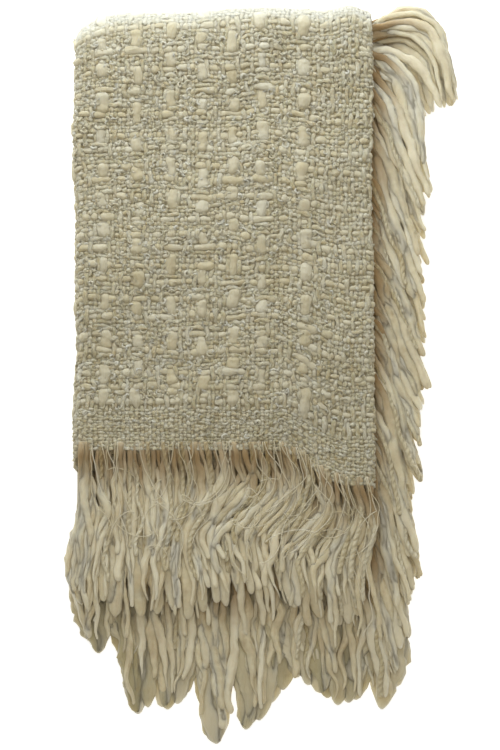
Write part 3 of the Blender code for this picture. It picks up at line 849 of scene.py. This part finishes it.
def swerve(x, fallen, size):
    """How far a front strand has swerved at this fall below the edge."""
    keyed = np.stack([np.interp(x, SWERVES_X, column) for column in SWERVES.T], axis=-1)
    fallen = np.clip(fallen, 0, FALLS[-1] - 1e-6)
    low = np.clip(np.searchsorted(FALLS, fallen, side="right") - 1, 0, len(FALLS) - 2)
    falls = np.array(FALLS)
    part = (fallen - falls[low]) / (falls[low + 1] - falls[low])
    row = np.arange(len(x))[:, None]
    return size[:, None] * rounded(mix(keyed[row, low], keyed[row, low + 1], part), 9)


def rounded(values, span):
    """Corners of a path's values rounded off by a moving average."""
    padded = np.pad(values, ((0, 0), (span, span)), mode="edge")
    sums = np.cumsum(padded, axis=1)
    return (sums[:, 2 * span:] - sums[:, :-2 * span]) / (2 * span)


def end_paths(rng, x, layers, front, broad, fine, room=0.0):
    """Dense paths of end strands that start at these x in these layers."""
    count = len(x)
    fallen = np.linspace(0, END_PATH, PATH_POINTS)[None, :]
    root_y = end_y(x, layer_offset(layers), front) + ROOT_DEPTH
    y = root_y[:, None] - fallen
    own = np.broadcast_to(fallen, (count, PATH_POINTS))
    side = crimp(rng, count, own, broad, fine) + rng.normal(0, 0.035, (count, 1)) * own * smooth(own / 0.12)
    if front:
        below = end_y(x, OUTER_OFFSET, True)[:, None] - y
        late = rng.uniform(-0.017, 0.017, (count, 1))
        side = side + swerve(x, below + late, rng.uniform(0.6, 1.35, count))
    else:
        nearest = CLUMPS_X[np.abs(x[:, None] - CLUMPS_X[None, :]).argmin(axis=1)]
        side = side + 0.35 * (nearest - x)[:, None] * smooth((own - 0.05) / 0.15)
        left = 1 - smooth((x + PANEL_WIDTH / 2) / 0.10)
        side = side - (left * 0.016)[:, None] * np.sin(math.pi * np.clip(own / 0.14, 0, 1))
        lean = rng.uniform(0.012, 0.054, (count, 1)) * smooth((x - 0.14) / 0.05)[:, None]
        side = side + lean * smooth(own / 0.15)
    leftmost = np.interp(y, LEFT_TIPS[1], LEFT_TIPS[0]) + room
    at = np.maximum(x[:, None] + side, leftmost)
    lift = rng.uniform(-0.001, 0.005, (count, 1)) * smooth(own / 0.04)
    lift = lift + 0.0016 * soft_noise(rng, count, own, 0.04)
    z = end_height(layers[:, None], front, at, y, lift)
    return uneven(at, y, np.maximum(z, LOWEST_MIDDLE))


def spread(rng, per_layer):
    """Roots along one end, layer by layer: their x and layer."""
    x, layers = [], []
    for layer, count in enumerate(per_layer):
        pitch = (EDGE_X + 0.010 - LEFT_X) / count
        x.append(LEFT_X - 0.010 + (np.arange(count) + 0.25 + 0.25 * layer) * pitch
                 + rng.uniform(-0.3, 0.3, count) * pitch)
        layers.append(np.full(count, layer))
    return np.concatenate(x), np.concatenate(layers)


def make_front_locks(material):
    """Thick strands of the upper end, which swerve together where they meet the lower half."""
    rng = np.random.default_rng(23)
    x, layers = spread(rng, (18, 26, 42, 54))
    corner = 7
    x = np.concatenate([x, rng.uniform(-0.191, -0.176, corner)])
    layers = np.concatenate([layers, np.full(corner, LAYERS - 1)])
    paths = end_paths(rng, x, layers, True, 0.0050, 0.0018)
    strands = cut_locks(rng, paths, (0.60, 1.14), 0.01, (0.0060, 0.0128), pointed=(0.1, 0.9), rings=46,
                        sides=7, neck=0.70, lumps=0.20, tint_power=0.65)
    x, layers = spread(rng, (18, 18))
    paths = end_paths(rng, x, layers, True, 0.0030, 0.0004, room=0.006)
    under = cut_locks(rng, paths, (0.85, 1.0), 0.01, (0.020, 0.028), pointed=0.5, rings=30, sides=8,
                      flat=0.25, tint_power=2.0)
    return tube_object("end_locks_front", [strands, under], material)


def make_back_locks(material):
    """Softer strands of the lower end, which lie over its broad wisps."""
    rng = np.random.default_rng(29)
    x, layers = spread(rng, (26, 24, 20, 18))
    corner = 8
    x = np.concatenate([x, np.linspace(0.176, 0.200, corner)])
    layers = np.concatenate([layers, rng.integers(0, LAYERS, corner)])
    paths = end_paths(rng, x, layers, False, 0.0056, 0.0016)
    strands = cut_locks(rng, paths, (0.85, 1.25), 0.06, (0.0080, 0.0155), pointed=(0.2, 0.9), rings=42,
                        sides=7, neck=0.65, flat=0.55, lumps=0.18, tint_power=1.4, pace=0.9)
    return tube_object("end_locks_back", [strands], material)


def make_back_wisps(material):
    """Broad combed wisps of the lower end, flat on the floor under its strands."""
    rng = np.random.default_rng(37)
    x, layers = spread(rng, (9, 10, 10, 10))
    x = np.concatenate([x, [0.160, 0.172, 0.184, 0.196]])
    layers = np.full(len(x), LAYERS - 1)
    paths = end_paths(rng, x, layers, False, 0.0030, 0.0004, room=0.014)
    lengths = trimmed(rng, paths, np.full(len(x), 0.27), 0.006) + 0.006
    wisps = locks(rng, paths, lengths, rng.uniform(0.036, 0.056, len(x)), 34, 14, neck=0.5, lumps=0.16,
                  flat=0.13, pointed=0.55, tint_power=0.6)
    return tube_object("end_wisps_back", [wisps], material)


def side_paths(rng, y0, rows, start_z):
    """Dense paths of side strands: out of the edge, then down beside the strip."""
    count = len(y0)
    gone = np.linspace(0, SIDE_PATH, PATH_POINTS)[None, :]
    step = gone[0, 1]
    tuft = smooth((y0 - BEND_END_Y + TUFT_LOW) / TUFT_RISE + rng.uniform(-0.3, 0.3, count))[:, None]
    start, end, turning = (mix(low, high, tuft) for low, high in zip(LOW_LIE, TUFT_LIE))
    corner = 1 - smooth((y0[:, None] + 0.24) / 0.16)
    start = start + rng.uniform(-9, 9, (count, 1)) + tuft * rng.uniform(-24, 8, (count, 1)) - 12 * corner
    end = end + rng.uniform(-6, 8, (count, 1)) - 8 * corner
    angle = np.radians(mix(start, end, smooth(gone / turning)))
    own = np.broadcast_to(gone, (count, PATH_POINTS))
    stray = crimp(rng, count, own, 0.0032, 0.0012)
    x = np.cumsum(np.cos(angle), axis=1) * step
    y = y0[:, None] + np.cumsum(np.sin(angle), axis=1) * step + stray * np.cos(angle)
    at = EDGE_X - ROOT_DEPTH + x - stray * np.sin(angle)
    rest = ROW_BASE + rows * ROW_PITCH + rng.uniform(-0.001, 0.004, count)
    z = mix(start_z[:, None], rest[:, None], smooth(x / SIDE_LANDED))
    z = z + 0.0015 * soft_noise(rng, count, own, 0.03)
    return uneven(at, y, np.maximum(z, LOWEST_MIDDLE))


def side_roots(rng, pitch):
    """Where the strands of the two side edges start: y, row on the floor and height."""
    y0, rows, heights = [], [], []
    for front in (True, False):
        for layer in (0, 1):
            row = 2 + layer if front else 1 - layer
            low = float(end_y(EDGE_X, layer_offset(layer), front)) + ROOT_DEPTH
            places = np.arange(low + pitch * row / 4, BEND_Y + 0.010, pitch)
            y0.append(places + rng.uniform(-0.3, 0.3, len(places)) * pitch)
            rows.append(np.full(len(places), row))
            heights.append(np.full(len(places), layer_z(layer, front)))
    return np.concatenate(y0), np.concatenate(rows), np.concatenate(heights)


def make_side_locks(material):
    """Strands of both side edges, with broad wisps under them, and the pale tuft at the bend."""
    rng = np.random.default_rng(31)
    y0, rows, heights = side_roots(rng, 0.0165)
    paths = side_paths(rng, y0, rows, heights)
    strands = cut_locks(rng, paths, (0.84, 1.12), 0.02, (0.0085, 0.0160), pointed=0.45, rings=41, sides=7,
                        neck=0.70, lumps=0.16, pace=0.75)
    crown = 34
    y0 = np.linspace(0.346, 0.393, crown)
    paths = side_paths(rng, y0, rng.integers(1, 4, crown), rng.uniform(0.022, 0.040, crown))
    tuft = cut_locks(rng, paths, (0.80, 1.08), 0.02, (0.0085, 0.0165), pointed=0.6, rings=41, sides=7,
                     neck=0.75, lumps=0.16, flat=0.5, tint_power=0.5, pace=4.0)
    y0, rows, heights = side_roots(rng, 0.045)
    low_crown = 14
    y0 = np.concatenate([y0, np.linspace(0.340, 0.384, low_crown)])
    rows = np.concatenate([rows, np.full(low_crown, 1)])
    heights = np.concatenate([heights, np.full(low_crown, 0.026)])
    paths = side_paths(rng, y0, rows, heights)
    under = cut_locks(rng, paths, (0.80, 1.0), 0.02, (0.018, 0.026), pointed=0.6, rings=30, sides=8,
                      flat=0.25)
    return tube_object("side_locks", [strands, tuft, under], material)


def make_plied_strands(material):
    """Firmer two-ply strands that lie among the locks of all fringes."""
    rng = np.random.default_rng(41)
    widths = (0.0055, 0.0072)
    raised = 0.003 * UPWARDS
    bundles = []
    for front, count in ((True, 34), (False, 10)):
        x = np.sort(rng.uniform(LEFT_X, EDGE_X, count))
        layers = rng.integers(1, LAYERS, count)
        paths = end_paths(rng, x, layers, front, 0.0045, 0.0009) + raised
        bundles.append(cut_locks(rng, paths, (0.55, 0.95), 0.02, widths, rings=44, sides=6, neck=0.85,
                                 flat=0.9))
    y0, rows, heights = side_roots(rng, 0.060)
    low = y0 < 0.33
    paths = side_paths(rng, y0[low], rows[low], heights[low]) + raised
    bundles.append(cut_locks(rng, paths, (0.7, 1.0), 0.02, widths, rings=44, sides=6, neck=0.9, flat=0.9))
    return tube_object("plied_strands", bundles, material)


def make_threads(material):
    """Thin curly threads, loose on top of the front end's fringe, some of them looped."""
    rng = np.random.default_rng(53)
    count, rings = 44, 60
    x = rng.uniform(LEFT_X + 0.005, EDGE_X, count)
    paths = end_paths(rng, x, np.full(count, LAYERS - 1), True, 0.009, 0.001)
    s = np.broadcast_to(np.linspace(0, 1, PATH_POINTS), (count, PATH_POINTS))
    begin = rng.uniform(0.08, 0.34, (count, 1))
    turn = 2 * math.pi * np.clip((s - begin) / 0.20, 0, 1) * rng.choice([-1, -1, 0, 1, 1], (count, 1))
    radius = rng.uniform(0.010, 0.021, (count, 1))
    inward = np.where(x < -0.10, 1.0, -1.0)[:, None]
    paths[:, :, 0] += inward * radius * (1 - np.cos(turn)) + 0.004 * soft_noise(rng, count, s, 0.12)
    paths[:, :, 1] += radius * np.sin(turn)
    paths[:, :, 2] += 0.009 + 0.003 * soft_noise(rng, count, s, 0.1)
    lengths = np.minimum(rng.uniform(0.07, 0.24, count), arcs(paths)[:, -1])
    centres = resampled(paths, lengths[:, None] * np.linspace(0, 1, rings)[None, :])
    half = np.full((count, rings), THREAD_HALF)
    ups = np.broadcast_to(UPWARDS, centres.shape)
    bundle = tubes(centres, ups, half, half, 4, rng.uniform(0.2, 1.0, (count, 1)), lump=0.0)
    return tube_object("loose_threads", [bundle], material)


# The set

def make_floor():
    """A pale matt sweep, bright enough to read as a white studio ground."""
    mesh = bpy.data.meshes.new("studio_floor")
    far = FLOOR_HALF
    mesh.from_pydata([(-far, -far, 0), (far, -far, 0), (far, far, 0), (-far, far, 0)], [], [(0, 1, 2, 3)])
    material, _, _ = surface("matt_white_sweep", Base_Color=linear("F7F7F5"), Roughness=1.0,
                             Specular_IOR_Level=0.0, Emission_Color=linear("FFFFFF"), Emission_Strength=0.62)
    mesh.materials.append(material)
    floor = bpy.data.objects.new("studio_floor", mesh)
    bpy.context.scene.collection.objects.link(floor)


def aimed(made, place, target):
    """Puts a light or the camera in the scene, turned towards its target."""
    made.location = place
    made.rotation_euler = (Vector(target) - Vector(place)).to_track_quat("-Z", "Y").to_euler()
    bpy.context.scene.collection.objects.link(made)


def make_light(name, place, target, size, watts, colour):
    lamp = bpy.data.lights.new(name, "AREA")
    lamp.shape = "DISK"
    lamp.size = size
    lamp.energy = watts
    lamp.color = colour
    aimed(bpy.data.objects.new(name, lamp), place, target)


def make_set():
    """The floor, a dim warm room, a cool key light beyond the bend and a warm one overhead."""
    make_floor()
    world = bpy.data.worlds.new("soft_studio")
    world.use_nodes = True
    background = world.node_tree.nodes["Background"]
    background.inputs["Color"].default_value = (1.0, 0.975, 0.92, 1.0)
    background.inputs["Strength"].default_value = 0.257
    bpy.context.scene.world = world
    make_light("key_beyond_the_bend", place=(-0.20, 1.12, 0.62), target=(0.0, 0.10, 0.03), size=1.2,
               watts=15.4, colour=(0.86, 0.93, 1.0))
    make_light("overhead_fill", place=(0.0, -0.2, 2.4), target=(0.0, -0.1, 0.0), size=1.6, watts=15.6,
               colour=(1.0, 0.96, 0.88))
    bpy.context.scene.view_settings.view_transform = "Standard"


def make_camera():
    """Looks down on the throw, a little from the fringe's end, as the photograph does."""
    away = Vector((0.0, -math.cos(CAMERA_ELEVATION), math.sin(CAMERA_ELEVATION)))
    camera = bpy.data.cameras.new("camera")
    camera.sensor_fit = "VERTICAL"
    camera.sensor_height = SENSOR
    camera.lens = SENSOR * CAMERA_DISTANCE / (IMAGE_ROWS * METRES_A_PIXEL)
    made = bpy.data.objects.new("camera", camera)
    aimed(made, CAMERA_TARGET + CAMERA_DISTANCE * away, CAMERA_TARGET)
    bpy.context.scene.camera = made


def main():
    # Tight curls give the thin yarn its knobbly, broken surface, the liveliest in colour
    thin_wool = wool("thin_curled_wool", "CDC1A1", "9A8A60", "DAD7C7", "BFA26C", 1.2, 3.4, 3.0,
                     root_share=0.001, curled=True)
    # Roving isn't spun, so it is smooth, full and even, and shows as soft pale pads
    roving = wool("soft_wool_roving", "D0C5A6", "A99870", "D9D5C3", "C6B48C", 1.4, 5.0, 12.0,
                  root_share=0.001)
    # Locks are cream, with ochre roots where they gather under the cloth's edge, darkened there further as
    # painted shade
    lock_wool = wool("fringe_lock_wool", "EADFBE", "8F6C38", "EDE4C9", "C4A468", 0.9, 5.0, 14.0,
                     root_share=0.42)
    # Combed wisps are flat and streaked along, and a little duller than what lies on them, which paints the
    # shade of the strands on top
    wisp_wool = wool("combed_wisp_wool", "C3B894", "A59565", "DDD3B7", "B79C66", 1.3, 9.0, 26.0,
                     root_share=0.45, hairs_round=24.0)
    # Two plies catch the light in slanting bands, drawn coarser than they are so that they show
    plied_wool = wool("plied_wool", "CDC19D", "8E7038", "DDD5BB", "BD9D66", 1.0, 3.4, 4.0,
                      root_share=0.36, twist_mm=9.0)
    # Threads are pale and almost smooth, so they read as single lines over the fringe
    thread_wool = wool("fine_wool_thread", "DED1A9", "B39B68", "EDE3C4", "C2A070", 0.1, 3.0, 4.0)
    sheet = make_sheet(backing_wool())
    weave = make_weave(thin_wool, roving) + [make_curls(thin_wool)]
    front_locks = make_front_locks(lock_wool)
    back_locks = make_back_locks(lock_wool)
    back_wisps = make_back_wisps(wisp_wool)
    side_locks = make_side_locks(lock_wool)
    plied = make_plied_strands(plied_wool)
    threads = make_threads(thread_wool)

    for piece in [sheet, front_locks, back_locks, back_wisps, side_locks, plied, threads] + weave:
        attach(piece, "root")
    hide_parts("woven_cloth")
    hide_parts("end_fringe_front")
    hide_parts("end_fringe_back")
    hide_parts("side_fringe_inner", "side_fringe_outer")
    make_set()
    make_camera()


main()
